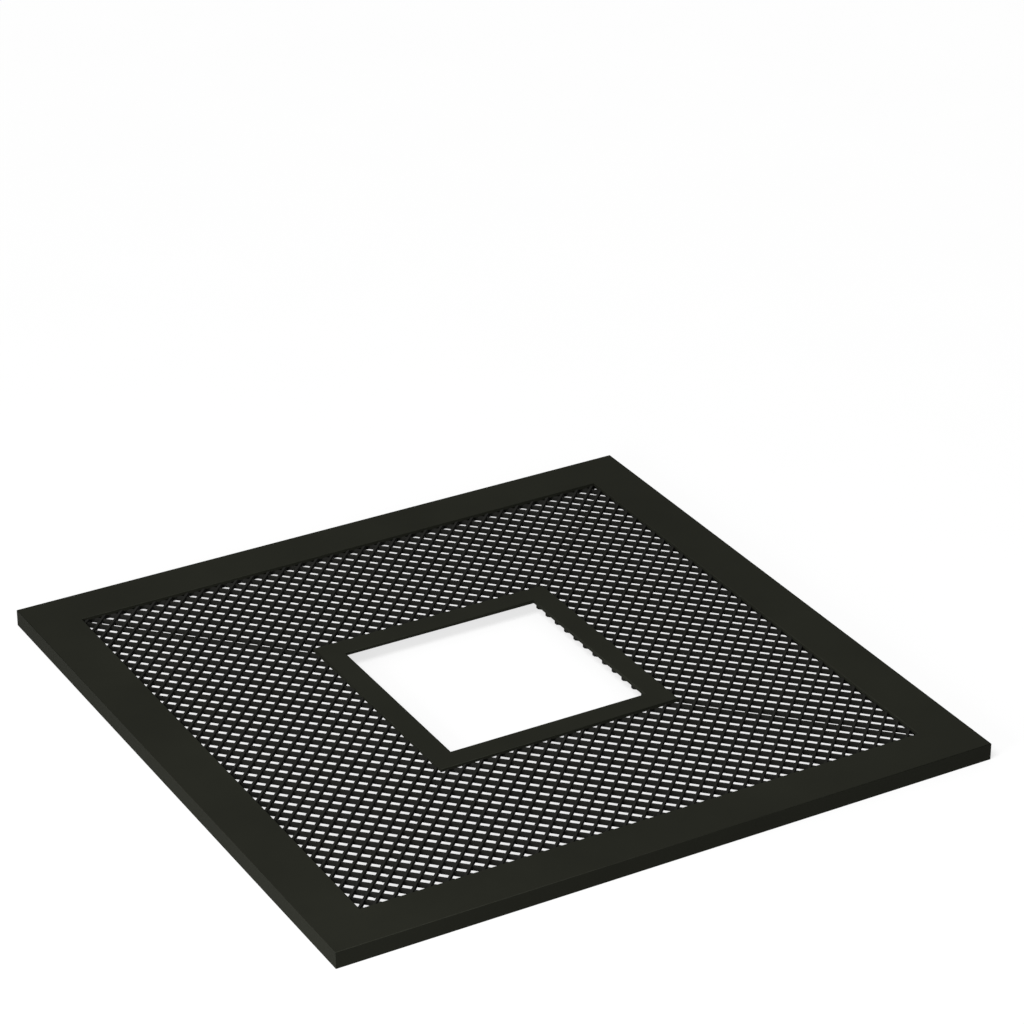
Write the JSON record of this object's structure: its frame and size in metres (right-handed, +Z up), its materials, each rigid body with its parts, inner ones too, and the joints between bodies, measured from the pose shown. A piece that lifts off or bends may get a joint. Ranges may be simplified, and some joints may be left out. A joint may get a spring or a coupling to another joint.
{
  "type": "tree grate",
  "caption": "Square steel tree grate: flat mitred frame, diagonal bar mesh in panels butted on the diagonals, and a flat square ring around the tree hole.",
  "frame": {"origin": "centre of the outer frame's underside, on the ground it rests on", "axes": "+Z up, X and Y along the frame's sides; the ring and tree hole lie a little towards +X"},
  "size_m": [1.2, 1.2, 0.03],
  "materials": {
    "coated_steel": "satin olive-black powder coat",
    "coated_mesh": "satin olive-black powder coat",
    "plated_fixings": "dull zinc plate"
  },
  "bodies": {
    "root": {"top_flat_north": "coated_steel", "top_flat_east": "coated_steel", "top_flat_south": "coated_steel", "top_flat_west": "coated_steel", "rim_flat_north": "coated_steel", "rim_flat_east": "coated_steel", "rim_flat_south": "coated_steel", "rim_flat_west": "coated_steel", "ring_flat_north": "coated_steel", "ring_flat_east": "coated_steel", "ring_flat_south": "coated_steel", "ring_flat_west": "coated_steel", "mesh_north_bearing_bars": "coated_mesh", "mesh_north_cross_bars": "coated_mesh", "mesh_east_bearing_bars": "coated_mesh", "mesh_east_cross_bars": "coated_mesh", "mesh_south_bearing_bars": "coated_mesh", "mesh_south_cross_bars": "coated_mesh", "mesh_west_bearing_bars": "coated_mesh", "mesh_west_cross_bars": "coated_mesh", "ledge_angle_north": "coated_steel", "ledge_angle_east": "coated_steel", "ledge_angle_south": "coated_steel", "ledge_angle_west": "coated_steel", "weld_studs": "plated_fixings", "washers": "plated_fixings", "nuts": "plated_fixings"}
  },
  "joints": []
}
